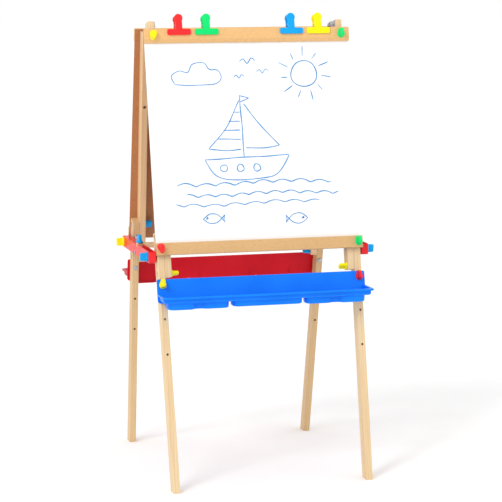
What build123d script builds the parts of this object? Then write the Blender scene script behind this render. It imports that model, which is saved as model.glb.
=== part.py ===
from build123d import *
import math
import os

os.makedirs("parts", exist_ok=True)

# Kids' double-sided standing easel. Millimetres, +Z up, front (dry-erase side)
# faces -Y, origin on the floor under the middle of the easel.

# ------------------------------------------------------------------
# driving dimensions
# ------------------------------------------------------------------
LEAN = 12.7            # lean of each panel from the vertical, degrees
APEX_Z = 1429.0        # height where the two panels' outer timber faces would meet
PIVOT_Z = 1188.0       # height of the hinge pins of the fold

# panel frame: u = across, v = distance down the slope from the apex line,
# w = outward from the timber's outer face
TIMBER_T = 18.0        # timber thickness across the easel
TIMBER_D = 37.0        # timber depth, front to back
STILE_IN = 241.0       # inner side face of the upper stiles
STILE_OUT = STILE_IN + TIMBER_T
LEG_OUT = STILE_OUT + TIMBER_T
TOE = 0.7              # the posts toe in towards the floor, degrees
POST_TOP = 228.0       # top end of the front stiles
BACK_TOP = 256.0       # top end of the back stiles, below the rail's top edge
STILE_END = 904.0      # lower end of the stiles
LEG_TOP = 786.0        # top end of the leg extensions
EDGE_R = 1.6           # eased timber edges

BOARD_HALF = 280.0     # half width of the boards and rails
BOARD_T = 4.5
BOARD_TOP = 251.0
BOARD_END = 846.0
RAIL_T = 11.5
TOP_RAIL_H = 37.0
BOT_RAIL_TOP = 816.0
BOT_RAIL_H = 32.0
RAIL_FACE = BOARD_T + RAIL_T

BOLT_R = 3.0
BOLT_FIT = 0.05        # knob and link bores over the bolts
HOLE_R = 3.3           # drilled holes in timber and boards
HEAD_R = 6.3
HEAD_H = 3.0

TOP_BOLT_V = 268.0     # top rail bolts, on the stiles' centre line
RAIL_BOLT_V = 829.5    # bottom rail bolts, on the leg extensions' centre line
HOLE_PITCH = 92.0      # pitch of the holes down the leg extensions
TRAY_BOLT_V = RAIL_BOLT_V + HOLE_PITCH
LEG_BOLT_V = (799.0, 894.0)
BRACE_V = 848.0        # brace pivots on the legs
BOARD_SCREW_V = 458.0

KNOB_H = 20.5
KNOB_BORE = 13.0

# braces
BRACE_IN = 280.4       # inner face of the links
BRACE_OUT = 298.5
BRACE_WALL = 3.0
BRACE_H = 30.0
LINK_GAP = 0.3
JOINT_Y, JOINT_DZ = 4.0, 5.5   # mid joint: y, and height above the links' underside
DOWEL_R = 8.0
DOWEL_Y = -14.0

# trays
RIM_Z = 505.5          # level rim round the front and the ends
RIM_W = 8.0            # how far the rim stands out from the basin
RIM_H = 4.8            # height of the rim's turned-down edge
RIM_OUT = 290.0        # how far the rim reaches from the easel's middle
FLOOR_Z = 488.0        # underside of the basin floor
TRAY_HALF = 282.5      # half width of the tall back wall
TRAY_T = 2.5
TRAY_TOP_V = 909.5
WALL_FOOT_Z = 480.0    # lower edge of the back wall
RIBS = (-189.0, -73.0, 73.0, 189.0)

# clips
CLIP_W = 62.5
CLIP_PIN_V, CLIP_PIN_W = 243.0, 8.0
CLIPS = {"red": -187.5, "green": -112.5, "blue": 119.5, "yellow": 194.0}

CA, SA, TA = (f(math.radians(LEAN)) for f in (math.cos, math.sin, math.tan))
FRONT = Pos(0, 0, APEX_Z) * Rot(-LEAN, 0, 0)
TURN = Rot(0, 0, 180)
BACK = TURN * FRONT
MINC = (Align.CENTER, Align.CENTER, Align.MIN)
MINS = (Align.MIN, Align.MIN, Align.MIN)
C_U = {"left": -1, "right": 1}
TT = math.tan(math.radians(TOE))


def stile_u(v):
    """Stile's centre line at height v."""
    return STILE_IN + TIMBER_T / 2 + (RAIL_BOLT_V - v) * TT


def leg_u(v):
    return STILE_OUT + TIMBER_T / 2 + (RAIL_BOLT_V - v) * TT


# ------------------------------------------------------------------
# helpers in the panel frame: x = u, y = -w, z = -v
# ------------------------------------------------------------------
def slab(u0, u1, v0, v1, w0, w1):
    return Pos(u0, -w1, -v1) * Box(u1 - u0, w1 - w0, v1 - v0, align=MINS)


def block(x0, x1, y0, y1, z0, z1):
    return Pos(x0, y0, z0) * Box(x1 - x0, y1 - y0, z1 - z0, align=MINS)


def out_cyl(u, v, w0, w1, r):
    return Pos(u, -w0, -v) * Rot(90, 0, 0) * Cylinder(r, w1 - w0, align=MINC)


def x_cyl(x0, x1, y, z, r):
    return Pos(min(x0, x1), y, z) * Rot(0, 90, 0) * Cylinder(r, abs(x1 - x0), align=MINC)


def across(x0, x1, v, w, r):
    return x_cyl(x0, x1, -w, -v, r)


def toe(k, shape):
    """Turn a post's pieces in the panel's plane about the bottom rail's bolt."""
    c = (k * (STILE_OUT + TIMBER_T / 2), 0, -RAIL_BOLT_V)
    return Pos(*c) * Rot(0, k * TOE, 0) * Pos(-c[0], -c[1], -c[2]) * shape


def yz_prism(pts, x0, x1):
    return extrude(Pos(x0, 0, 0) * (Plane.YZ * Polygon(*pts, align=None)), amount=x1 - x0, dir=(1, 0, 0))


def group(*solids):
    out = []
    for s in solids:
        out.extend(s.solids() if hasattr(s, "solids") else [s])
    return Compound(children=out) if len(out) > 1 else out[0]


def save(name, shape):
    export_step(shape, f"parts/{name}.step")


def bolt(length):
    """Carriage bolt along +Z, head under z = 0."""
    head = Cylinder(HEAD_R, HEAD_H, align=(Align.CENTER, Align.CENTER, Align.MAX))
    head = fillet(head.edges().group_by(Axis.Z)[0], HEAD_H * 0.85)
    shank = Cylinder(BOLT_R, length, align=MINC)
    shank = chamfer(shank.edges().group_by(Axis.Z)[-1], 0.7)
    return head + shank


def egg(y1, r1, y2, r2):
    """Convex outline round two circles on the Y axis."""
    s = (r1 - r2) / (y2 - y1)
    c = math.sqrt(1 - s * s)
    web = Polygon((r1 * c, y1 + r1 * s), (r2 * c, y2 + r2 * s), (-r2 * c, y2 + r2 * s),
                  (-r1 * c, y1 + r1 * s), align=None)
    return Pos(0, y1) * Circle(r1) + Pos(0, y2) * Circle(r2) + web


def knob():
    """Moulded thumb knob along +Z from z = 0, narrow end towards +Y."""
    foot = extrude(egg(-3.6, 9.5, 8.0, 5.6), amount=2.4)
    flare = extrude(Pos(0, 0, 2.4) * egg(-3.6, 9.5, 8.0, 5.6), amount=5.0, taper=36)
    blade = extrude(egg(-4.9, 6.2, 7.4, 4.8), amount=KNOB_H, taper=3.5)
    blade = fillet(blade.edges().group_by(Axis.Z)[-1], 2.6)
    body = foot + flare + blade
    return body - Cylinder(BOLT_R + BOLT_FIT, KNOB_BORE, align=MINC)


KNOB = knob()


def knob_out(u, v, w, ang):
    """Knob on a panel's face, narrow end up at ang = 0."""
    return Pos(u, -w, -v) * Rot(90, 0, 0) * Rot(0, 0, ang) * KNOB


def knob_x(x, y, z, sign, ang):
    """Knob along X (sign = direction), narrow end up at ang = 0."""
    return Pos(x, y, z) * Rot(0, 90 * sign, 0) * Rot(0, 0, -90 * sign + ang) * KNOB


def screw(length):
    """Pan-head wood screw along +Z, head under z = 0."""
    head = Cylinder(3.7, 2.0, align=(Align.CENTER, Align.CENTER, Align.MAX))
    head = fillet(head.edges().group_by(Axis.Z)[0], 1.3)
    slot = Pos(0, 0, -2.0) * (Box(4.2, 0.9, 1.0, align=MINC) + Box(0.9, 4.2, 1.0, align=MINC))
    tip = Pos(0, 0, length - 3.0) * Cone(1.7, 0.3, 3.0, align=MINC)
    return (head - slot) + Cylinder(1.7, length - 3.0, align=MINC) + tip


# ------------------------------------------------------------------
# timber
# ------------------------------------------------------------------
FRONT_SCREWS = ((239.0, -11.0), (255.0, -24.0))
BACK_SCREWS = ((290.0, -28.0), (290.0, -10.0))


def stile(side, top, screws):
    k = C_U[side]
    u0, u1 = sorted((k * STILE_IN, k * STILE_OUT))
    s = slab(u0, u1, top, STILE_END, -TIMBER_D, 0)
    s = fillet(s.edges().filter_by(Axis.Z), EDGE_R)
    for v in LEG_BOLT_V:
        s -= across(u0 - 1, u1 + 1, v, -TIMBER_D / 2, HOLE_R)
    for v, w in screws:
        s -= across(k * (STILE_IN - 1), k * (STILE_IN + 14.5), v, w, 1.8)
    s = toe(k, s)
    s -= out_cyl(k * stile_u(TOP_BOLT_V), TOP_BOLT_V, -TIMBER_D - 1, 1, HOLE_R)
    s -= out_cyl(k * stile_u(BOARD_SCREW_V), BOARD_SCREW_V, -TIMBER_D - 1, 1, 1.8)
    s -= out_cyl(k * stile_u(BOARD_SCREW_V), BOARD_SCREW_V, -TIMBER_D - 1, -TIMBER_D + 12.0, 4.6)
    # brace pivot, square to the easel, spot-faced under its head
    s -= across(u0 - 2, u1 + 2, BRACE_V, -TIMBER_D / 2, 4.2)
    s -= across(k * (STILE_IN - 3), k * STILE_IN, BRACE_V, -TIMBER_D / 2, 7.3)
    return s


def leg(side):
    k = C_U[side]
    u0, u1 = sorted((k * STILE_OUT, k * LEG_OUT))
    s = slab(u0, u1, LEG_TOP, APEX_Z / CA + 40, -TIMBER_D, 0)
    s = fillet(s.edges().filter_by(Axis.Z), EDGE_R)
    for v in LEG_BOLT_V:
        s -= across(u0 - 1, u1 + 1, v, -TIMBER_D / 2, HOLE_R)
        s -= across(k * (LEG_OUT - 4.0), k * (LEG_OUT + 1), v, -TIMBER_D / 2, 7.2)
    s = toe(k, s)
    for i in range(4):
        v = RAIL_BOLT_V + i * HOLE_PITCH
        s -= out_cyl(k * leg_u(v), v, -TIMBER_D - 1, 1, HOLE_R)
    s -= across(u0 - 2, u1 + 2, BRACE_V, -TIMBER_D / 2, 4.2)
    return s


def on_floor(s):
    """Trim a leg level with the floor."""
    return s - block(-400, 400, -600, 600, -200, 0)


def rail_top():
    r = slab(-BOARD_HALF, BOARD_HALF, BOARD_TOP, BOARD_TOP + TOP_RAIL_H, BOARD_T, RAIL_FACE)
    bevel = yz_prism([(-RAIL_FACE - 1, -(BOARD_TOP + TOP_RAIL_H) + 9.0),
                      (-RAIL_FACE, -(BOARD_TOP + TOP_RAIL_H) + 9.0),
                      (-RAIL_FACE + 6.0, -(BOARD_TOP + TOP_RAIL_H)),
                      (-RAIL_FACE + 6.0, -(BOARD_TOP + TOP_RAIL_H) - 1),
                      (-RAIL_FACE - 1, -(BOARD_TOP + TOP_RAIL_H) - 1)],
                     -BOARD_HALF - 1, BOARD_HALF + 1)
    r = fillet(r.edges().filter_by(Axis.X).group_by(Axis.Y)[0].sort_by(Axis.Z)[-1], 1.5)
    r -= bevel
    for k in (-1, 1):
        r -= out_cyl(k * stile_u(TOP_BOLT_V), TOP_BOLT_V, BOARD_T - 1, RAIL_FACE + 1, HOLE_R)
    return r


def rail_bottom():
    r = slab(-BOARD_HALF, BOARD_HALF, BOT_RAIL_TOP, BOT_RAIL_TOP + BOT_RAIL_H, BOARD_T, RAIL_FACE)
    r = fillet(r.edges().filter_by(Axis.X).group_by(Axis.Y)[0], 1.8)
    for k in (-1, 1):
        r -= out_cyl(k * (STILE_OUT + TIMBER_T / 2), RAIL_BOLT_V, BOARD_T - 1, RAIL_FACE + 1, HOLE_R)
    return r


def board():
    b = slab(-BOARD_HALF, BOARD_HALF, BOARD_TOP, BOARD_END, 0, BOARD_T)
    b = fillet(b.edges().filter_by(Axis.Y), 2.0)
    for k in (-1, 1):
        b -= out_cyl(k * stile_u(TOP_BOLT_V), TOP_BOLT_V, -1, BOARD_T + 1, HOLE_R)
        b -= out_cyl(k * (STILE_OUT + TIMBER_T / 2), RAIL_BOLT_V, -1, BOARD_T + 1, HOLE_R)
        b -= out_cyl(k * stile_u(BOARD_SCREW_V), BOARD_SCREW_V, -1, 3.6, 1.8)
    return b


# ------------------------------------------------------------------
# hinge: one steel leaf on each post, inner side, riveted on the fold axis
# ------------------------------------------------------------------
LEAF_T = 2.0
EAR_R = 10.0
PIN_R = 2.5
PV, PW = (APEX_Z - PIVOT_Z) * CA, -(APEX_Z - PIVOT_Z) * SA   # fold axis in the panel frame
HX = STILE_IN + (RAIL_BOLT_V - PV) * TT                      # stiles' inner face at the fold axis
ARM_V, ARM_W = 272.0, -21.0                                  # where the rear leaf's arm joins its plate
ELBOW_V, ELBOW_W = 255.0, -45.0


def leaf(k, rear):
    """Steel leaf. The rear one stands one thickness further in and reaches up to the pin as an arm."""
    xa = STILE_IN - LEAF_T
    top = BACK_TOP if rear else POST_TOP
    plate = slab(xa, STILE_IN, top + 1.0, top + (43.0 if rear else 36.0), -TIMBER_D + 0.5, -3.0)
    plate = fillet(plate.edges().filter_by(Axis.X), 3.0)
    if rear:
        x0 = xa - LEAF_T - 0.25
        s = plate
        for (va, wa, ra), (vb, wb, rb) in (((PV, PW, 8.5), (ELBOW_V, ELBOW_W, 8.4)),
                                           ((ELBOW_V, ELBOW_W, 9.2), (ARM_V, ARM_W, 9.1))):
            dy, dz = wa - wb, va - vb
            run = math.hypot(dy, dz)
            at = Plane(origin=(x0, -wa, -va), x_dir=(0, dz / run, -dy / run), z_dir=(1, 0, 0))
            s += extrude(at * egg(0, ra, run, rb), amount=LEAF_T, dir=(1, 0, 0))
        s += across(x0, STILE_IN, ARM_V, ARM_W, 8.5)
    else:
        s = plate + slab(xa, STILE_IN, PV - EAR_R, PV + EAR_R, PW, -TIMBER_D + 4.0)
        s += across(xa, STILE_IN, PV, PW, EAR_R)
    for v, w in BACK_SCREWS if rear else FRONT_SCREWS:
        s -= across(xa - 5, STILE_IN + 1, v, w, 2.0)
    s = toe(1, s) - across(HX - 12, HX + 3, PV, PW, PIN_R + BOLT_FIT)
    return s if k > 0 else mirror(s, about=Plane.YZ)


def hinge_pin(k):
    xi = HX - 2 * LEAF_T - 0.25 - 0.2
    p = across(xi, HX + 0.1, PV, PW, PIN_R)
    p += across(xi - 1.6, xi, PV, PW, 4.6)
    p += across(HX + 0.1, HX + 1.7, PV, PW, 4.6)
    return p if k > 0 else mirror(p, about=Plane.YZ)


def hinge_screws(k, rear):
    return [toe(k, Pos(k * (STILE_IN - LEAF_T), -w, -v) * Rot(0, 90 * k, 0) * screw(15.5))
            for v, w in (BACK_SCREWS if rear else FRONT_SCREWS)]


def board_screw(k):
    w0 = -TIMBER_D + 12.0
    return Pos(k * stile_u(BOARD_SCREW_V), -w0, -BOARD_SCREW_V) * Rot(90, 0, 0) * screw(28.0)


# ------------------------------------------------------------------
# fasteners of one panel
# ------------------------------------------------------------------
def rail_bolts():
    out = []
    for k in (-1, 1):
        for u, v in ((stile_u(TOP_BOLT_V), TOP_BOLT_V), (leg_u(RAIL_BOLT_V), RAIL_BOLT_V)):
            out.append(Pos(k * u, TIMBER_D, -v) * Rot(90, 0, 0) * bolt(TIMBER_D + RAIL_FACE + 11.5))
    return out


def tray_bolts():
    return [Pos(k * leg_u(TRAY_BOLT_V), TIMBER_D, -TRAY_BOLT_V) * Rot(90, 0, 0)
            * bolt(TIMBER_D + TRAY_T + 11.5) for k in (-1, 1)]


def leg_bolts():
    out = []
    for k in (-1, 1):
        for v in LEG_BOLT_V:
            out.append(toe(k, Pos(k * (LEG_OUT - 4.0), TIMBER_D / 2, -v) * Rot(0, -90 * k, 0)
                           * bolt(2 * TIMBER_T - 4.0 + 11.5)))
    return out


def leg_knobs(angles):
    out = []
    for (k, v), a in zip([(k, v) for k in (-1, 1) for v in LEG_BOLT_V], angles):
        out.append(toe(k, knob_x(k * STILE_IN, TIMBER_D / 2, -v, -k, a)))
    return out


# ------------------------------------------------------------------
# tray: one moulding with a raised back wall, a shallow basin and wells
# ------------------------------------------------------------------
def rounded(pts, r, idx):
    f = Polygon(*pts, align=None)
    vs = [v for v in f.vertices()
          if any(abs(v.X - pts[i][0]) < 1e-6 and abs(v.Y - pts[i][1]) < 1e-6 for i in idx)]
    return fillet(vs, r)


def outline(half_back, half_front, y_back, y_front, r):
    pts = [(-half_back, y_back), (half_back, y_back), (half_front, y_front), (-half_front, y_front)]
    return rounded(pts, r, (2, 3))


WELLS = ((-184.5, -1, 470.0), (0.0, 0, 472.0), (184.5, 1, 470.0))     # centre, shape, underside
WELL_Y = -(RIM_OUT - 43.0)


def well_plan(kind, grow):
    """Middle well: one long trough. End wells: two lobes, the outer one deeper, joined by a waist."""
    if kind == 0:
        return RectangleRounded(190 + 2 * grow, 52 + 2 * grow, 18 + grow)
    a = Pos(kind * 44.25, 0) * RectangleRounded(76.5 + 2 * grow, 56 + 2 * grow, 20 + grow)
    b = Pos(-kind * 44.25, 0) * RectangleRounded(76.5 + 2 * grow, 50 + 2 * grow, 19 + grow)
    f = a + b + Rectangle(48, 34 + 2 * grow)
    return fillet([v for v in f.vertices() if abs(v.X) < 14 and abs(v.Y) < 22], 9.0)


def plate_z(half_back, half_front, y_front, corner, z0, z1):
    return extrude(Pos(0, 0, z0) * outline(half_back, half_front, -170, y_front, corner),
                   amount=z1 - z0, dir=(0, 0, 1))


def basin(half_back, half_front, y_front, corner, z0, z1, r):
    p = plate_z(half_back, half_front, y_front, corner, z0, z1)
    bottom = p.edges().group_by(Axis.Z)[0]
    return fillet([e for e in bottom if abs(e.center().Y + 170) > 1], r)


def tray():
    # front tray, in the easel's own frame
    hb, hf, yf = TRAY_HALF - RIM_W + 4.0, TRAY_HALF - RIM_W + 5.0, -(RIM_OUT - RIM_W)
    t = TRAY_T
    behind = FRONT * slab(-400, 400, 700, 1100, -200, 0)
    body = basin(hb, hf, yf, 11, FLOOR_Z, RIM_Z, 4.5)
    rim = plate_z(TRAY_HALF, TRAY_HALF + 1.5, -RIM_OUT, 9, RIM_Z - RIM_H, RIM_Z)
    rim = fillet([e for e in rim.edges().group_by(Axis.Z)[-1] if abs(e.center().Y + 170) > 1], 1.4)
    rim -= plate_z(TRAY_HALF - t, TRAY_HALF + 1.5 - t, -RIM_OUT + t, 6.5, RIM_Z - RIM_H - 1, RIM_Z - t)
    body += rim
    for x, kind, z in WELLS:
        well = extrude(Pos(x, WELL_Y, z) * well_plan(kind, -1.5), amount=FLOOR_Z + 1 - z, dir=(0, 0, 1), taper=-4)
        body += fillet(well.edges().group_by(Axis.Z)[0], 3.0)
    wall = slab(-TRAY_HALF, TRAY_HALF, TRAY_TOP_V, (APEX_Z - WALL_FOOT_Z) / CA, 0, t)
    upright = wall.edges().filter_by(Axis.Y).group_by(Axis.Z)
    wall = fillet(upright[-1], 5.0)
    wall = fillet(wall.edges().filter_by(Axis.Y).group_by(Axis.Z)[0], 8.0)
    for u in RIBS:
        rib = yz_prism([(-0.5, -945.0), (0.0, -945.0), (2.2, -966.0), (2.2, -1010.0), (-0.5, -1010.0)], u - 1.6, u + 1.6)
        wall += rib
    body -= behind
    body += FRONT * wall - block(-400, 400, -600, 600, 0, WALL_FOOT_Z)
    inner = basin(hb - t, hf - t, yf + t, 11 - t, FLOOR_Z + t, RIM_Z + 40, 2.5)
    body -= inner - FRONT * slab(-400, 400, 700, 1100, -200, t)
    for x, kind, z in WELLS:
        body -= extrude(Pos(x, WELL_Y, z + t) * well_plan(kind, -1.5 - t),
                        amount=FLOOR_Z + 6 - z - t, dir=(0, 0, 1), taper=-4)
    for k in (-1, 1):
        body -= FRONT * out_cyl(k * leg_u(TRAY_BOLT_V), TRAY_BOLT_V, -1, t + 1, HOLE_R)
    return body


# ------------------------------------------------------------------
# braces: a two-link folding brace on each side
# ------------------------------------------------------------------
P_Y = BRACE_V * SA - TIMBER_D / 2 * CA
P_Z = APEX_Z - BRACE_V * CA - TIMBER_D / 2 * SA
Z0 = P_Z - BRACE_H / 2          # underside of the straight brace
Z1 = P_Z + BRACE_H / 2
J_Y, J_Z = JOINT_Y, Z0 + JOINT_DZ
DOWEL_Z = Z1 + 3.5 - DOWEL_R + 1.0
LINK_END = P_Y + 18.8           # links end just inside the timber's outer face
KNUCKLE_R = 12.0
RELIEF = 36.0                   # length of the rear link's underside cut back for the fold
EYE_R = 5.4
XC = (BRACE_IN + BRACE_OUT) / 2


def yz_disc(y, z, r, x0, x1):
    return x_cyl(x0, x1, y, z, r)


def end_round(s, y, r=6.0):
    es = [e for e in s.edges().filter_by(Axis.X) if abs(e.center().Y - y) < 0.01]
    return fillet(es, r)


def front_link(k):
    xi, xo = BRACE_IN, BRACE_OUT
    outer = block(xi, xo, -LINK_END, J_Y - 7.3, Z0, Z1)
    outer = end_round(outer, -LINK_END)
    knuckle = yz_disc(J_Y, J_Z, KNUCKLE_R, xi, xo) - block(xi - 1, xo + 1, J_Y - 50, J_Y + 50, Z0 - 50, Z0)
    s = outer + knuckle
    # open-topped channel
    s -= block(xi + BRACE_WALL, xo - BRACE_WALL, -LINK_END + 3.2, J_Y - 11.9, Z0 + 6.0, Z1 + 10)
    s -= block(xi + BRACE_WALL, xo - BRACE_WALL, J_Y - 12.0, J_Y + 40, Z0 - 1, Z1 + 10)
    # sleeve for the pivot bolt, and a boss that spaces the link off the leg
    s += yz_disc(-P_Y, P_Z, 6.5, xi + 1, xo - 1)
    s += yz_disc(-P_Y, P_Z, 10.0, LEG_OUT + LINK_GAP, xi)
    s -= yz_disc(-P_Y, P_Z, BOLT_R + BOLT_FIT, xi - 10, xo + 10)
    # notch for the dowel
    s -= yz_disc(DOWEL_Y, DOWEL_Z, DOWEL_R + 0.2, xi - 1, xo + 1)
    s -= block(xi - 1, xo + 1, DOWEL_Y - DOWEL_R - 0.2, DOWEL_Y + DOWEL_R + 0.2, DOWEL_Z, Z1 + 20)
    # hole and recess for the dowel bolt
    s -= Pos(XC, DOWEL_Y, Z0 - 1) * Cylinder(HOLE_R, 10, align=MINC)
    s -= Pos(XC, DOWEL_Y, Z0 - 1) * Cylinder(6.6, 1 + 3.2, align=MINC)
    # joint pin hole
    s -= yz_disc(J_Y, J_Z, BOLT_R + BOLT_FIT, xi - 1, xo + 1)
    return s if k > 0 else mirror(s, about=Plane.YZ)


def rear_link(k):
    xi, xo = BRACE_IN, BRACE_OUT

    def off(pts):
        return [(J_Y + a, J_Z + b) for a, b in pts]
    top = Z1 - J_Z
    bot = Z0 - J_Z
    far = LINK_END - J_Y
    full = yz_prism(off([(-6.8, 9.0), (-6.8, top), (far, top), (far, bot), (RELIEF, bot), (13.2, 2.2), (13.2, 9.0)]),
                    xi, xo)
    full = end_round(full, LINK_END)
    full -= yz_disc(J_Y, J_Z, KNUCKLE_R + 0.6, xi - 1, xo + 1)
    full -= block(xi + BRACE_WALL, xo - BRACE_WALL, J_Y + RELIEF + 6, LINK_END - 3.2, Z0 - 1, Z1 - 3.2)
    tx0, tx1 = xi + BRACE_WALL + 0.35, xo - BRACE_WALL - 0.35
    tongue = yz_prism(off([(-6.8, 3.0), (-6.8, top - 0.4), (RELIEF + 6, top - 0.4), (RELIEF + 6, bot),
                           (RELIEF, bot), (13.2, 2.2), (5.0, 2.2), (0, -2.0), (-4.0, 0)]), tx0, tx1)
    tongue += yz_disc(J_Y, J_Z, EYE_R, tx0, tx1)
    s = full + tongue
    s += yz_disc(P_Y, P_Z, 6.5, xi + 1, xo - 1)
    s -= yz_disc(P_Y, P_Z, BOLT_R + BOLT_FIT, xi - 10, xo + 10)
    s -= yz_disc(J_Y, J_Z, BOLT_R + BOLT_FIT, xi - 1, xo + 1)
    return s if k > 0 else mirror(s, about=Plane.YZ)


def joint_pin(k):
    p = yz_disc(J_Y, J_Z, BOLT_R, BRACE_IN - 0.5, BRACE_OUT + 0.5)
    p += yz_disc(J_Y, J_Z, 4.8, BRACE_IN - 1.6, BRACE_IN) + yz_disc(J_Y, J_Z, 4.8, BRACE_OUT, BRACE_OUT + 1.6)
    return p if k > 0 else mirror(p, about=Plane.YZ)


def dowel():
    half = BRACE_OUT - 1.0
    d = x_cyl(-half, half, DOWEL_Y, DOWEL_Z, DOWEL_R)
    d = chamfer(d.edges().filter_by(GeomType.CIRCLE), 1.0)
    for k in (-1, 1):
        d -= Pos(k * XC, DOWEL_Y, DOWEL_Z - 20) * Cylinder(HOLE_R, 40, align=MINC)
    return d


def front_brace_bolt(k):
    b = Pos(STILE_IN, 0, 0) * Rot(0, 90, 0) * bolt(BRACE_OUT - STILE_IN + LINK_GAP + 11.5)
    b = Pos(0, -P_Y, P_Z) * b
    return b if k > 0 else mirror(b, about=Plane.YZ)


def barrel(k):
    """Sleeve nut in the back leg: domed head inside, spacer flange under the link."""
    b = x_cyl(STILE_IN, LEG_OUT, P_Y, P_Z, 4.1) + x_cyl(LEG_OUT, BRACE_IN - LINK_GAP, P_Y, P_Z, 10.0)
    h = x_cyl(STILE_IN - HEAD_H, STILE_IN, P_Y, P_Z, HEAD_R + 0.7)
    h = fillet(h.edges().group_by(Axis.X)[0], HEAD_H * 0.85)
    b = b + h
    b -= x_cyl(STILE_IN + 8, LEG_OUT + 10, P_Y, P_Z, BOLT_R + 0.1)
    return b if k > 0 else mirror(b, about=Plane.YZ)


def stud(k):
    s = x_cyl(BRACE_IN, BRACE_OUT + LINK_GAP + 11.5, P_Y, P_Z, BOLT_R)
    return s if k > 0 else mirror(s, about=Plane.YZ)


# ------------------------------------------------------------------
# paper clips: two moulded jaws on a steel pin, with a torsion spring
# ------------------------------------------------------------------
def jaw(uc, front):
    t = 5.0
    k = 1 if front else -1
    w_face = RAIL_FACE + 0.15 if front else -0.15        # surface that grips

    def band(a, b):
        return (w_face + k * a, w_face + k * b) if k > 0 else (w_face + k * b, w_face + k * a)
    w0, w1 = band(0, t)
    bar = slab(uc - CLIP_W / 2, uc + CLIP_W / 2, 253.0, 268.5, w0, w1)
    bar = fillet(bar.edges().filter_by(Axis.Y), 3.6)
    # handle: neck and round head, the two leaning towards each other
    h0, h1 = band(0.6, 4.6)
    handle = slab(uc - 9.3, uc + 9.3, 224.0, 262.0, h0, h1) + out_cyl(uc, 224.0, h0, h1, 11.3)
    hinge_y, hinge_z = -(h0 if front else h1), -256.0
    handle = Pos(0, hinge_y, hinge_z) * Rot(-2.0 if front else 4.0, 0, 0) * Pos(0, -hinge_y, -hinge_z) * handle
    s = bar + handle
    x0, x1 = (6.0, 8.6) if front else (3.1, 5.7)
    for m in (-1, 1):
        a, b = sorted((uc + m * x0, uc + m * x1))
        ear = slab(a, b, CLIP_PIN_V - 4.0, CLIP_PIN_V + 4.0, CLIP_PIN_W, h0 + 2.2) if front else \
            slab(a, b, CLIP_PIN_V - 4.0, CLIP_PIN_V + 4.0, h1 - 2.2, CLIP_PIN_W)
        ear += across(a, b, CLIP_PIN_V, CLIP_PIN_W, 4.0)
        s += ear
    s -= across(uc - 12, uc + 12, CLIP_PIN_V, CLIP_PIN_W, 1.5 + BOLT_FIT)
    return s


def clip_pin(uc):
    return across(uc - 9.6, uc + 9.6, CLIP_PIN_V, CLIP_PIN_W, 1.5)


def clip_spring(uc):
    path = Helix(pitch=1.25, height=4.4, radius=2.75)
    coil = sweep(Plane(path @ 0, z_dir=path % 0) * Circle(0.5), path=path, is_frenet=True)
    coil = Pos(uc - 2.2, -CLIP_PIN_W, -CLIP_PIN_V) * Rot(0, 90, 0) * coil
    return coil


# ------------------------------------------------------------------
# write the parts
# ------------------------------------------------------------------
for side in ("left", "right"):
    save(f"front_stile_{side}", FRONT * stile(side, POST_TOP, FRONT_SCREWS))
    save(f"front_leg_{side}", on_floor(FRONT * leg(side)))
    other = "right" if side == "left" else "left"
    save(f"back_stile_{side}", BACK * stile(other, BACK_TOP, BACK_SCREWS))
    save(f"back_leg_{side}", TURN * on_floor(FRONT * leg(other)))

save("front_top_rail", FRONT * rail_top())
save("front_bottom_rail", FRONT * rail_bottom())
save("back_top_rail", BACK * rail_top())
save("back_bottom_rail", BACK * rail_bottom())
save("dry_erase_board", FRONT * board())
save("chalkboard", BACK * board())
TRAY = tray()
save("front_tray", TRAY)
save("back_tray", TURN * TRAY)

save("front_hinge_leaves", group(*[FRONT * leaf(k, False) for k in (-1, 1)]))
save("back_hinge_leaves", group(*[BACK * leaf(k, True) for k in (-1, 1)]))
save("hinge_pins", group(*[FRONT * hinge_pin(k) for k in (-1, 1)]))
for name, place in (("front", FRONT), ("back", BACK)):
    save(f"{name}_rail_bolts", group(*[place * b for b in rail_bolts()]))
    save(f"{name}_tray_bolts", group(*[place * b for b in tray_bolts()]))
    save(f"{name}_leg_bolts", group(*[place * b for b in leg_bolts()]))
    screws = [s for k in (-1, 1) for s in hinge_screws(k, name == "back") + [board_screw(k)]]
    save(f"{name}_wood_screws", group(*[place * s for s in screws]))

UT, UB, UR = stile_u(TOP_BOLT_V), leg_u(RAIL_BOLT_V), leg_u(TRAY_BOLT_V)
lk = leg_knobs((100, 80, 92, 115))
save("front_knobs_yellow", group(*[FRONT * s for s in
     [knob_out(-UT, TOP_BOLT_V, RAIL_FACE, 168), knob_out(-UR, TRAY_BOLT_V, TRAY_T, -3)] + lk]))
save("front_knobs_green", group(FRONT * knob_out(UT, TOP_BOLT_V, RAIL_FACE, 4),
                                FRONT * knob_out(UB, RAIL_BOLT_V, RAIL_FACE, 8)))
save("front_knobs_red", group(FRONT * knob_out(-UB, RAIL_BOLT_V, RAIL_FACE, 193),
                              FRONT * knob_out(UR, TRAY_BOLT_V, TRAY_T, 6)))
save("back_knobs_blue", group(*[BACK * s for s in leg_knobs((130, 50, 20, 155))]))
save("back_knobs_outer", group(*[BACK * s for s in (
    knob_out(-UT, TOP_BOLT_V, RAIL_FACE, 12), knob_out(UT, TOP_BOLT_V, RAIL_FACE, 170),
    knob_out(-UB, RAIL_BOLT_V, RAIL_FACE, 172), knob_out(UB, RAIL_BOLT_V, RAIL_FACE, -12),
    knob_out(-UR, TRAY_BOLT_V, TRAY_T, 185), knob_out(UR, TRAY_BOLT_V, TRAY_T, 5))]))

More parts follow.
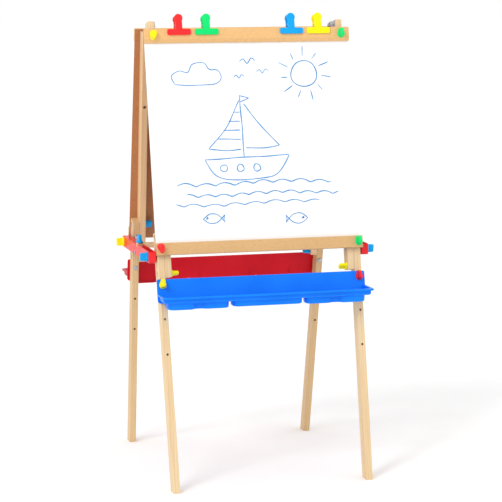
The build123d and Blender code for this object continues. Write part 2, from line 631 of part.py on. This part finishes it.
for side, k in C_U.items():
    save(f"brace_front_{side}", front_link(k))
    save(f"brace_rear_{side}", rear_link(k))
    save(f"rear_brace_stud_{side}", stud(k))
    xk = k * (BRACE_OUT + LINK_GAP)
    save(f"front_brace_knob_{side}", knob_x(xk, -P_Y, P_Z, k, 176 if k < 0 else 8))
    save(f"rear_brace_knob_{side}", knob_x(xk, P_Y, P_Z, k, 4))
    save(f"dowel_knob_{side}", Pos(k * XC, DOWEL_Y, DOWEL_Z + DOWEL_R + 0.2) * Rot(0, 0, 180) * KNOB)
save("brace_joint_pins", group(joint_pin(-1), joint_pin(1)))
save("paper_roll_dowel", dowel())
dz = DOWEL_Z + DOWEL_R + 11.5 - (Z0 + 3.2)
save("dowel_bolts", group(*[Pos(k * XC, DOWEL_Y, Z0 + 3.2) * bolt(dz) for k in (-1, 1)]))
save("front_brace_bolts", group(front_brace_bolt(-1), front_brace_bolt(1)))
save("back_brace_barrels", group(barrel(-1), barrel(1)))

for colour, uc in CLIPS.items():
    save(f"clip_{colour}_front_jaw", FRONT * jaw(uc, True))
    save(f"clip_{colour}_back_jaw", FRONT * jaw(uc, False))
save("clip_pins", group(*[FRONT * clip_pin(u) for u in CLIPS.values()]))
save("clip_springs", group(*[FRONT * clip_spring(u) for u in CLIPS.values()]))

print("brace pivots y %.3f z %.3f, joint y %.3f z %.3f, dowel z %.3f" % (P_Y, P_Z, J_Y, J_Z, DOWEL_Z))
print("clip pin y %.3f z %.3f" % tuple((FRONT * Pos(0, -CLIP_PIN_W, -CLIP_PIN_V)).position)[1:])
print("files", len(os.listdir("parts")))
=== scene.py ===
import bpy
import math
import random
from mathutils import Matrix, Vector


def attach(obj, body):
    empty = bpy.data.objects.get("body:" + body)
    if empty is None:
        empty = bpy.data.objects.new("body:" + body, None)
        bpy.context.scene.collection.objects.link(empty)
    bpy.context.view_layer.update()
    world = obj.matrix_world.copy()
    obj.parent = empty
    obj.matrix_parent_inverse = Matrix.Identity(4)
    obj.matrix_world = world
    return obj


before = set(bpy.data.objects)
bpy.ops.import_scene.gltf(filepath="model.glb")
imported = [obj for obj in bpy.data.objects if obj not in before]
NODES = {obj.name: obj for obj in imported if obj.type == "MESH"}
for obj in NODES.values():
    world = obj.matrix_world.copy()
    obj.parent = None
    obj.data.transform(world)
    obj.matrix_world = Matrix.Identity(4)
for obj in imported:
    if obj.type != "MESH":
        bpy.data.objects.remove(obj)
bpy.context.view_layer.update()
random.seed(7)

# the panels' geometry, as in the CAD model, in metres
LEAN = math.radians(12.7)
APEX = 1.429
CA, SA = math.cos(LEAN), math.sin(LEAN)


def panel(u, v, w, side=-1):
    """Point on a leaning panel: across, down the slope, outward. side -1 is the front."""
    return Vector((u, side * (v * SA + w * CA), APEX - v * CA + w * SA))


# ------------------------------------------------------------------
# node helpers
# ------------------------------------------------------------------
class Net:
    def __init__(self, name):
        self.m = bpy.data.materials.new(name)
        self.m.use_nodes = True
        self.t = self.m.node_tree
        self.t.nodes.clear()
        self.out = self.t.nodes.new("ShaderNodeOutputMaterial")
        self.b = self.t.nodes.new("ShaderNodeBsdfPrincipled")
        self.t.links.new(self.b.outputs[0], self.out.inputs[0])
        self.tc = self.t.nodes.new("ShaderNodeTexCoord")

    def n(self, kind, **props):
        x = self.t.nodes.new("ShaderNode" + kind)
        for k, v in props.items():
            setattr(x, k, v)
        return x

    def put(self, sock, v):
        if hasattr(v, "is_output") or isinstance(v, bpy.types.NodeSocket):
            self.t.links.new(v, sock)
        else:
            sock.default_value = v

    def math(self, op, a, b=0.0, c=0.0, clamp=False):
        x = self.n("Math", operation=op, use_clamp=clamp)
        self.put(x.inputs[0], a)
        self.put(x.inputs[1], b)
        self.put(x.inputs[2], c)
        return x.outputs[0]

    def place(self, rot=(0, 0, 0), loc=(0, 0, 0), scale=(1, 1, 1)):
        """Object coordinates, turned, then stretched and moved."""
        a = self.n("Mapping")
        self.put(a.inputs["Vector"], self.tc.outputs["Object"])
        a.inputs["Rotation"].default_value = rot
        b = self.n("Mapping")
        self.put(b.inputs["Vector"], a.outputs[0])
        b.inputs["Location"].default_value = loc
        b.inputs["Scale"].default_value = scale
        return b.outputs[0]

    def noise(self, vec, scale=1.0, detail=2.0, rough=0.5, dist=0.0):
        x = self.n("TexNoise")
        self.put(x.inputs["Vector"], vec)
        x.inputs["Scale"].default_value = scale
        x.inputs["Detail"].default_value = detail
        x.inputs["Roughness"].default_value = rough
        x.inputs["Distortion"].default_value = dist
        return x.outputs["Fac"]

    def ramp(self, fac, stops, interp="LINEAR"):
        x = self.n("ValToRGB")
        x.color_ramp.interpolation = interp
        e = x.color_ramp.elements
        while len(e) < len(stops):
            e.new(0.5)
        for i, (p, c) in enumerate(stops):
            e[i].position = p
            e[i].color = c if len(c) == 4 else (*c, 1)
        self.put(x.inputs[0], fac)
        return x.outputs[0]

    def mix(self, fac, a, b, mode="MIX"):
        x = self.n("Mix", data_type="RGBA", blend_type=mode)
        self.put(x.inputs[0], fac)
        self.put(x.inputs[6], a if not isinstance(a, tuple) or len(a) == 4 else (*a, 1))
        self.put(x.inputs[7], b if not isinstance(b, tuple) or len(b) == 4 else (*b, 1))
        return x.outputs[2]

    def remap(self, v, a, b, c, d):
        x = self.n("MapRange")
        self.put(x.inputs[0], v)
        for i, k in enumerate((a, b, c, d)):
            x.inputs[i + 1].default_value = k
        return x.outputs[0]

    def bump(self, height, strength, distance=0.001, normal=None):
        x = self.n("Bump")
        x.inputs["Strength"].default_value = strength
        x.inputs["Distance"].default_value = distance
        self.put(x.inputs["Height"], height)
        if normal is not None:
            self.put(x.inputs["Normal"], normal)
        return x.outputs[0]

    def set(self, name, v):
        self.put(self.b.inputs[name], v)


def srgb(h):
    h = h.lstrip("#")
    c = [int(h[i:i + 2], 16) / 255 for i in (0, 2, 4)]
    return tuple(x / 12.92 if x <= 0.04045 else ((x + 0.055) / 1.055) ** 2.4 for x in c)


# ------------------------------------------------------------------
# timber: rings of a tree whose heart lies beside the stick, so the faces
# show straight grain that drifts along the length
# ------------------------------------------------------------------
def timber(name, rot, seed, pale, late, ring=0.0042, heart=(0.055, 0.04), contrast=0.5):
    rnd = random.Random(seed)
    N = Net(name)
    off = (rnd.uniform(-2, 2), rnd.uniform(-2, 2), rnd.uniform(-2, 2))
    base = N.place(rot)
    drift = N.noise(N.place(rot, off, (5, 5, 1.1)), 1.0, 2.0)
    drift2 = N.noise(N.place(rot, off, (24, 24, 3.0)), 1.0, 2.0)
    sep = N.n("SeparateXYZ")
    N.put(sep.inputs[0], base)
    hx, hy = heart[0] * rnd.choice((-1, 1)), heart[1] * rnd.choice((-1, 1))
    cx = N.math("SUBTRACT", sep.outputs[0], hx + off[0] * 0.01)
    cy = N.math("SUBTRACT", sep.outputs[1], hy + off[1] * 0.01)
    r = N.math("SQRT", N.math("ADD", N.math("MULTIPLY", cx, cx), N.math("MULTIPLY", cy, cy)))
    r = N.math("ADD", r, N.math("MULTIPLY", drift, 0.030))
    r = N.math("ADD", r, N.math("MULTIPLY", drift2, 0.0035))
    rings = N.math("FRACT", N.math("DIVIDE", r, ring))
    rings = N.ramp(rings, [(0.0, (0.10,) * 3), (0.55, (0.22,) * 3), (0.86, (0.85,) * 3), (0.94, (1,) * 3), (1.0, (0.10,) * 3)])
    fibre = N.noise(N.place(rot, off, (620, 620, 14)), 1.0, 3.0, 0.6)
    streak = N.noise(N.place(rot, off, (150, 150, 3.2)), 1.0, 3.0, 0.55)
    tone = N.noise(N.place(rot, off, (9, 9, 2.3)), 1.0, 2.0)
    col = N.mix(N.math("MULTIPLY", rings, contrast), pale, late)
    dark = tuple(c * 0.80 for c in late)
    col = N.mix(N.remap(streak, 0.52, 0.78, 0.0, 0.42), col, dark)
    col = N.mix(N.remap(tone, 0.35, 0.7, 0.0, 0.30), col, tuple(c * 1.0 for c in late))
    col = N.mix(N.remap(fibre, 0.3, 0.75, 0.0, 0.20), col, dark)
    N.set("Base Color", col)
    N.set("Roughness", N.remap(N.math("ADD", fibre, N.math("MULTIPLY", rings, -0.4)), 0.0, 0.9, 0.56, 0.40))
    N.b.inputs["Specular IOR Level"].default_value = 0.35
    N.b.inputs["Coat Weight"].default_value = 0.12
    N.b.inputs["Coat Roughness"].default_value = 0.32
    nrm = N.bump(fibre, 0.20, 0.0004)
    nrm = N.bump(rings, 0.12, 0.0003, nrm)
    N.set("Normal", nrm)
    return N.m


def fibreboard(name, seed, light, dark):
    """Pressed board with a clear coat: fine specks, short flecks, cloudy tone."""
    N = Net(name)
    off = (seed * 1.7, seed * 0.9, seed * 2.3)
    speck = N.noise(N.place((0, 0, 0), off, (760, 900, 900)), 1.0, 2.0, 0.65)
    fleck = N.noise(N.place((0, 0, 0), off, (120, 420, 420)), 1.0, 3.0, 0.6)
    cloud = N.noise(N.place((0, 0, 0), off, (7, 20, 20)), 1.0, 3.0)
    col = N.mix(N.remap(speck, 0.35, 0.68, 0.0, 1.0), light, dark)
    col = N.mix(N.remap(fleck, 0.52, 0.74, 0.0, 0.38), col, tuple(c * 0.62 for c in dark))
    col = N.mix(N.remap(cloud, 0.3, 0.7, 0.0, 0.22), col, tuple(c * 0.88 for c in dark))
    N.set("Base Color", col)
    N.set("Roughness", N.remap(speck, 0.2, 0.8, 0.42, 0.58))
    N.b.inputs["Specular IOR Level"].default_value = 0.35
    N.set("Normal", N.bump(speck, 0.14, 0.0003))
    return N


def plastic(name, colour, rough=0.30, seed=0.0, depth=0.10):
    """Injection-moulded plastic: faint flow shading, satin skin, rubbed patches and hairline scuffs."""
    N = Net(name)
    off = (seed, seed * 1.3, seed * 0.7)
    flow = N.noise(N.place((0, 0, 0), off, (9, 9, 9)), 1.0, 2.0)
    skin = N.noise(N.place((0, 0, 0), off, (1500, 1500, 1500)), 1.0, 1.0)
    rub = N.noise(N.place((0, 0, 0), off, (38, 38, 38)), 1.0, 4.0, 0.6)
    hair = N.noise(N.place((0.4, 0.3, 0.9), off, (900, 26, 60)), 1.0, 2.0, 0.5)
    scuff = N.math("MULTIPLY", N.remap(hair, 0.66, 0.74, 0.0, 1.0), N.remap(rub, 0.50, 0.66, 0.0, 1.0))
    lo = tuple(c * (1 - depth) for c in colour)
    hi = tuple(min(1.0, c * (1 + depth * 0.6) + 0.004) for c in colour)
    col = N.mix(N.remap(flow, 0.3, 0.7, 0.0, 1.0), lo, hi)
    pale = tuple(min(1.0, c * 0.8 + 0.18) for c in colour)
    col = N.mix(N.math("MULTIPLY", scuff, 0.22), col, pale)
    N.set("Base Color", col)
    r = N.remap(rub, 0.25, 0.75, rough - 0.06, rough + 0.10)
    N.set("Roughness", N.math("ADD", r, N.math("MULTIPLY", scuff, 0.18)))
    N.b.inputs["Specular IOR Level"].default_value = 0.15
    N.set("Normal", N.bump(skin, 0.035, 0.0002))
    return N.m


def zinc(name, rough=0.30):
    N = Net(name)
    grain = N.noise(N.place(scale=(900, 900, 900)), 1.0, 2.0)
    patch = N.noise(N.place(scale=(90, 90, 90)), 1.0, 3.0)
    N.set("Base Color", N.ramp(patch, [(0.3, (0.34, 0.35, 0.37)), (0.7, (0.56, 0.57, 0.58))]))
    N.b.inputs["Metallic"].default_value = 1.0
    N.set("Roughness", N.remap(patch, 0.25, 0.75, rough - 0.06, rough + 0.16))
    N.set("Normal", N.bump(grain, 0.05, 0.0002))
    return N.m


def facing(N, side):
    """1 on the board's outer face, 0 on its edges and inner face."""
    sep = N.n("SeparateXYZ")
    N.put(sep.inputs[0], N.tc.outputs["Object"])
    w = N.math("ADD", N.math("MULTIPLY", sep.outputs[1], side * CA),
               N.math("MULTIPLY", N.math("SUBTRACT", sep.outputs[2], APEX), SA))
    return N.math("GREATER_THAN", w, 0.0042)


def dry_erase():
    N = fibreboard("dry_erase_panel", 3, srgb("#a9774a"), srgb("#8a5c36"))
    inner = N.b.inputs["Base Color"].links[0].from_socket
    inner_r = N.b.inputs["Roughness"].links[0].from_socket
    out = facing(N, -1)
    wipe = N.noise(N.place((0.5, 0, 0.6), scale=(7, 30, 30)), 1.0, 4.0, 0.6)
    ghost = N.noise(N.place(scale=(3.2, 3.2, 3.2)), 1.0, 3.0)
    white = N.ramp(wipe, [(0.30, (0.83, 0.838, 0.85)), (0.62, (0.862, 0.866, 0.87))])
    white = N.mix(N.remap(ghost, 0.5, 0.8, 0.0, 0.30), white, (0.80, 0.82, 0.85))
    N.set("Base Color", N.mix(out, inner, white))
    gloss = N.remap(wipe, 0.3, 0.7, 0.16, 0.30)
    N.set("Roughness", N.math("ADD", N.math("MULTIPLY", out, gloss),
                              N.math("MULTIPLY", N.math("SUBTRACT", 1.0, out), inner_r)))
    return N.m


def chalkboard():
    N = fibreboard("chalkboard_panel", 5, srgb("#c5885a"), srgb("#a66b43"))
    inner = N.b.inputs["Base Color"].links[0].from_socket
    inner_r = N.b.inputs["Roughness"].links[0].from_socket
    out = facing(N, 1)
    smear = N.noise(N.place((0.0, 0.35, 0.0), scale=(6, 22, 22)), 1.0, 5.0, 0.62)
    dust = N.noise(N.place(scale=(420, 420, 420)), 1.0, 3.0, 0.7)
    patch = N.noise(N.place(scale=(2.6, 2.6, 2.6)), 1.0, 2.0)
    amount = N.math("MULTIPLY", N.remap(smear, 0.42, 0.74, 0.0, 1.0), N.remap(patch, 0.38, 0.66, 0.15, 1.0))
    amount = N.math("MULTIPLY", amount, N.remap(dust, 0.3, 0.7, 0.35, 1.0))
    black = N.mix(N.math("MULTIPLY", amount, 0.26), (0.018, 0.021, 0.022), (0.55, 0.57, 0.57))
    N.set("Base Color", N.mix(out, inner, black))
    N.set("Roughness", N.math("ADD", N.math("MULTIPLY", out, N.remap(amount, 0.0, 1.0, 0.74, 0.95)),
                              N.math("MULTIPLY", N.math("SUBTRACT", 1.0, out), inner_r)))
    N.set("Normal", N.bump(dust, 0.10, 0.0003))
    return N.m


# ------------------------------------------------------------------
# finishes on the CAD nodes
# ------------------------------------------------------------------
PALE, LATE = srgb("#e6cfa6"), srgb("#cfa570")
# a darker copy of the same pine for the back legs: painted shade, since their faces turn down and away from the light
SHADED_PALE, SHADED_LATE = srgb("#dfc193"), srgb("#c69c68")
PALE3, LATE3 = srgb("#ecca9e"), srgb("#d6a878")
RED, BLUE = (0.82, 0.022, 0.026), (0.0, 0.205, 0.93)
YELLOW, GREEN = (0.90, 0.80, 0.002), (0.003, 0.72, 0.165)

MAT = {}
for i, (n, side, p, l) in enumerate((
        ("front_stile_left", 1, PALE, LATE), ("front_stile_right", 1, PALE, LATE),
        ("front_leg_left", 1, PALE, LATE), ("front_leg_right", 1, PALE, LATE),
        ("back_stile_left", -1, PALE3, LATE3), ("back_stile_right", -1, PALE3, LATE3),
        ("back_leg_left", -1, SHADED_PALE, SHADED_LATE), ("back_leg_right", -1, SHADED_PALE, SHADED_LATE))):
    MAT[n] = timber("timber_" + n, (side * LEAN, 0, 0), 11 + i, p, l)
MAT["paper_roll_dowel"] = timber("timber_dowel", (0, math.pi / 2, 0), 41, srgb("#ecd0a4"), srgb("#d2a772"), ring=0.0022, contrast=0.35)
for i, (n, p, l) in enumerate((("front_top_rail", "#edbf84", "#d6a669"), ("front_bottom_rail", "#dcb27e", "#c69c65"),
                               ("back_top_rail", "#edbf84", "#d6a669"), ("back_bottom_rail", "#dcb27e", "#c69c65"))):
    MAT[n] = fibreboard("pressed_" + n, i + 1.0, srgb(p), srgb(l)).m
MAT["dry_erase_board"] = dry_erase()
MAT["chalkboard"] = chalkboard()

P = {"red": plastic("plastic_red", RED, 0.28, 1.0), "blue": plastic("plastic_blue", BLUE, 0.32, 2.0),
     "yellow": plastic("plastic_yellow", YELLOW, 0.30, 3.0), "green": plastic("plastic_green", GREEN, 0.30, 4.0),
     "sky": plastic("plastic_sky", (0.002, 0.34, 0.78), 0.30, 5.0),
     "tray_red": plastic("plastic_tray_red", (0.60, 0.0, 0.011), 0.34, 6.0)}
MAT.update({"front_tray": P["blue"], "back_tray": P["tray_red"], "front_knobs_yellow": P["yellow"],
            "front_knobs_green": P["green"], "front_knobs_red": P["red"], "back_knobs_blue": P["sky"],
            "back_knobs_outer": P["green"]})
for s in ("left", "right"):
    MAT["brace_front_" + s] = MAT["brace_rear_" + s] = P["red"]
    MAT["front_brace_knob_" + s] = MAT["dowel_knob_" + s] = P["sky"]
    MAT["rear_brace_knob_" + s] = P["yellow"]
for c in ("red", "green", "blue", "yellow"):
    for j in ("front", "back"):
        MAT["clip_%s_%s_jaw" % (c, j)] = P["sky" if c == "blue" else c]
STEEL = zinc("zinc_plate")

for name, obj in NODES.items():
    m = MAT.get(name, STEEL)
    obj.data.materials.clear()
    obj.data.materials.append(m)
    for poly in obj.data.polygons:
        poly.material_index = 0


# ------------------------------------------------------------------
# marker drawing on the dry-erase board: a boat at sea under a sun
# ------------------------------------------------------------------
def smooth(points, step=0.004):
    """Curve through the points."""
    if len(points) < 3:
        out = []
        a, b = Vector(points[0]), Vector(points[1])
        k = max(2, int((b - a).length / step))
        return [a.lerp(b, i / k) for i in range(k + 1)]
    pts = [Vector(p) for p in points]
    out = []
    for i in range(len(pts) - 1):
        p0, p1, p2, p3 = pts[max(i - 1, 0)], pts[i], pts[i + 1], pts[min(i + 2, len(pts) - 1)]
        k = max(2, int((p2 - p1).length / step))
        for j in range(k):
            t = j / k
            out.append(0.5 * ((2 * p1) + (p2 - p0) * t + (2 * p0 - 5 * p1 + 4 * p2 - p3) * t * t
                              + (3 * p1 - p0 - 3 * p2 + p3) * t ** 3))
    out.append(pts[-1])
    return out


def corners(points):
    out = []
    for a, b in zip(points[:-1], points[1:]):
        out += smooth([a, b])[:-1]
    return out + [Vector(points[-1])]


def drawing():
    strokes = []

    def hand(points, curved=True):
        line = smooth(points) if curved else corners(points)
        ph = random.uniform(0, 6)
        strokes.append([p + Vector((0.0007 * math.sin(ph + i * 0.23), 0.0007 * math.cos(ph * 1.3 + i * 0.19)))
                        for i, p in enumerate(line)])

    def ring(cx, cy, r, squash=1.0, turns=1.03):
        k = 22
        hand([(cx + r * math.cos(t) * (1 + 0.03 * math.sin(3 * t)), cy + squash * r * math.sin(t) * (1 + 0.025 * math.cos(2 * t)))
              for t in [2 * math.pi * turns * i / k + 0.6 for i in range(k + 1)]])
    # coordinates on the board: x across, y down the slope, metres
    # sun, upper right
    ring(0.150, 0.375, 0.036)
    for i in range(11):
        t = 2 * math.pi * i / 11 + 0.1
        a, b = 0.047, 0.066 if i % 2 else 0.075
        hand([(0.150 + a * math.cos(t), 0.375 + a * math.sin(t)), (0.150 + b * math.cos(t + 0.05), 0.375 + b * math.sin(t + 0.05))])
    # cloud, upper left
    hand([(-0.205, 0.398), (-0.212, 0.376), (-0.190, 0.362), (-0.168, 0.366), (-0.155, 0.345), (-0.124, 0.342),
          (-0.108, 0.360), (-0.086, 0.362), (-0.078, 0.382), (-0.094, 0.397), (-0.130, 0.401), (-0.170, 0.402), (-0.205, 0.398)])
    # birds
    for x, y, s in ((-0.005, 0.345, 1.0), (0.035, 0.372, 0.8), (-0.030, 0.385, 0.7)):
        hand([(x - 0.020 * s, y - 0.006 * s), (x - 0.010 * s, y - 0.013 * s), (x, y), (x + 0.011 * s, y - 0.014 * s), (x + 0.022 * s, y - 0.006 * s)])
    # boat: hull, mast, two sails, portholes and a pennant
    hand([(-0.135, 0.600), (0.095, 0.592)])
    hand([(-0.135, 0.600), (-0.112, 0.640), (-0.070, 0.654), (0.020, 0.653), (0.062, 0.640), (0.095, 0.592)])
    hand([(-0.028, 0.596), (-0.031, 0.430)])
    hand([(-0.034, 0.444), (-0.070, 0.512), (-0.122, 0.572)])
    hand([(-0.122, 0.572), (-0.075, 0.578), (-0.034, 0.574)])
    hand([(-0.022, 0.452), (0.010, 0.498), (0.070, 0.566)])
    hand([(0.070, 0.566), (0.026, 0.573), (-0.022, 0.571)])
    for k in range(1, 5):
        f = k / 5
        hand([(-0.034 - 0.078 * f, 0.452 + 0.118 * f), (-0.034, 0.446 + 0.120 * f + 0.006)])
    hand([(-0.031, 0.430), (-0.006, 0.438), (-0.030, 0.448)], False)
    for x in (-0.085, -0.040, 0.005):
        ring(x, 0.624, 0.0095)
    # sea
    for row, (y, x0, x1, amp, wl) in enumerate(((0.668, -0.215, 0.205, 0.008, 0.052), (0.697, -0.190, 0.225, 0.007, 0.046), (0.722, -0.220, 0.170, 0.007, 0.055))):
        k = int((x1 - x0) / wl * 8)
        hand([(x0 + (x1 - x0) * i / k, y + amp * abs(math.sin(math.pi * (x1 - x0) * i / k / wl + row)) * -1 + 0.003 * math.sin(i * 0.11)) for i in range(k + 1)])
    # two fish below the waves
    for x, y, d in ((-0.120, 0.757, 1), (0.105, 0.763, -1)):
        hand([(x - 0.030 * d, y), (x - 0.012 * d, y - 0.013), (x + 0.010 * d, y - 0.010), (x + 0.030 * d, y + 0.010)])
        hand([(x - 0.030 * d, y), (x - 0.012 * d, y + 0.012), (x + 0.010 * d, y + 0.009), (x + 0.030 * d, y - 0.010)])
        hand([(x + 0.030 * d, y - 0.010), (x + 0.027 * d, y), (x + 0.030 * d, y + 0.010)])
        ring(x - 0.018 * d, y - 0.002, 0.0022)

    verts, faces = [], []
    z0, z1 = 0.00452, 0.00466
    for line in strokes:
        n = len(line)
        half = random.uniform(0.00115, 0.0015)
        start = len(verts)
        for i, p in enumerate(line):
            a, b = line[max(i - 1, 0)], line[min(i + 1, n - 1)]
            d = (b - a).normalized() if (b - a).length > 1e-9 else Vector((1, 0))
            q = Vector((-d.y, d.x))
            end = min(i, n - 1 - i)
            h = half * (1 + 0.16 * math.sin(i * 0.37 + start)) * (0.55 if end == 0 else 0.85 if end == 1 else 1.0)
            for s in (1, -1):
                for z in (z0, z1):
                    e = p + q * h * s
                    verts.append(panel(e.x, e.y, z))
        for i in range(n - 1):
            a, b = start + 4 * i, start + 4 * i + 4
            for j, k in ((0, 1), (1, 3), (3, 2), (2, 0)):
                faces.append((a + j, a + k, b + k, b + j))
        faces.append((start, start + 2, start + 3, start + 1))
        e = start + 4 * (n - 1)
        faces.append((e, e + 1, e + 3, e + 2))
    me = bpy.data.meshes.new("marker_drawing")
    me.from_pydata(verts, [], faces)
    me.validate()
    o = bpy.data.objects.new("marker_drawing", me)
    bpy.context.scene.collection.objects.link(o)
    N = Net("marker_ink")
    run = N.noise(N.place(scale=(160, 160, 160)), 1.0, 3.0, 0.6)
    N.set("Base Color", N.ramp(run, [(0.32, srgb("#5fa3d6")), (0.62, srgb("#2f78bb"))]))
    N.set("Roughness", N.remap(run, 0.3, 0.7, 0.30, 0.5))
    me.materials.append(N.m)
    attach(o, "front_frame")
    return o


drawing()

# ------------------------------------------------------------------
# floor, light, camera
# ------------------------------------------------------------------
bpy.ops.mesh.primitive_circle_add(vertices=128, radius=90, fill_type="NGON", location=(0, 0, -0.0002))
floor = bpy.context.object
floor.name = "floor"
N = Net("floor_paper")
fl = N.noise(N.place(scale=(6, 6, 6)), 1.0, 2.0)
N.set("Base Color", N.ramp(fl, [(0.3, (0.945, 0.945, 0.945)), (0.7, (0.96, 0.96, 0.96))]))
N.b.inputs["Roughness"].default_value = 0.9
N.b.inputs["Specular IOR Level"].default_value = 0.1
floor.data.materials.append(N.m)


def area(name, loc, target, size, power, colour=(1, 1, 1)):
    d = bpy.data.lights.new(name, "AREA")
    d.energy = power
    d.size = size
    d.color = colour
    o = bpy.data.objects.new(name, d)
    o.location = loc
    o.rotation_euler = (Vector(target) - Vector(loc)).to_track_quat("-Z", "Y").to_euler()
    bpy.context.scene.collection.objects.link(o)
    return o


area("key", (-2.4, -3.0, 3.0), (0, 0, 0.7), 0.9, 34)
area("fill", (3.0, -2.6, 1.8), (0, 0, 0.6), 2.4, 6)

sun = bpy.data.lights.new("sun", "SUN")
sun.energy = 0.5
sun.angle = math.radians(13)
sun_o = bpy.data.objects.new("sun", sun)
sun_o.rotation_euler = Vector((0.79, 0.61, -0.92)).to_track_quat("-Z", "Y").to_euler()
bpy.context.scene.collection.objects.link(sun_o)

w = bpy.data.worlds.new("studio")
bpy.context.scene.world = w
w.use_nodes = True
bg = w.node_tree.nodes["Background"]
bg.inputs[0].default_value = (1, 1, 1, 1)
bg.inputs[1].default_value = 1.0

cam_data = bpy.data.cameras.new("camera")
cam = bpy.data.objects.new("camera", cam_data)
bpy.context.scene.collection.objects.link(cam)
bpy.context.scene.camera = cam
cam_data.sensor_fit = "HORIZONTAL"
cam_data.sensor_width = 36.0
cam_data.lens = 138.0
cam_data.clip_end = 100
yaw, pitch, roll = math.radians(14.320), math.radians(7.559), math.radians(-0.414)
fw = Vector((math.sin(yaw) * math.cos(pitch), math.cos(yaw) * math.cos(pitch), -math.sin(pitch)))
rt = Vector((math.cos(yaw), -math.sin(yaw), 0))
up = rt.cross(fw)
c, s = math.cos(roll), math.sin(roll)
rt, up = c * rt + s * up, -s * rt + c * up
m = Matrix((rt, up, -fw)).transposed().to_4x4()
m.translation = Vector((-1.2682, -5.0571, 1.2719))
cam.matrix_world = m

bpy.context.scene.view_settings.view_transform = "Standard"
bpy.context.scene.view_settings.look = "None"

bpy.context.view_layer.update()
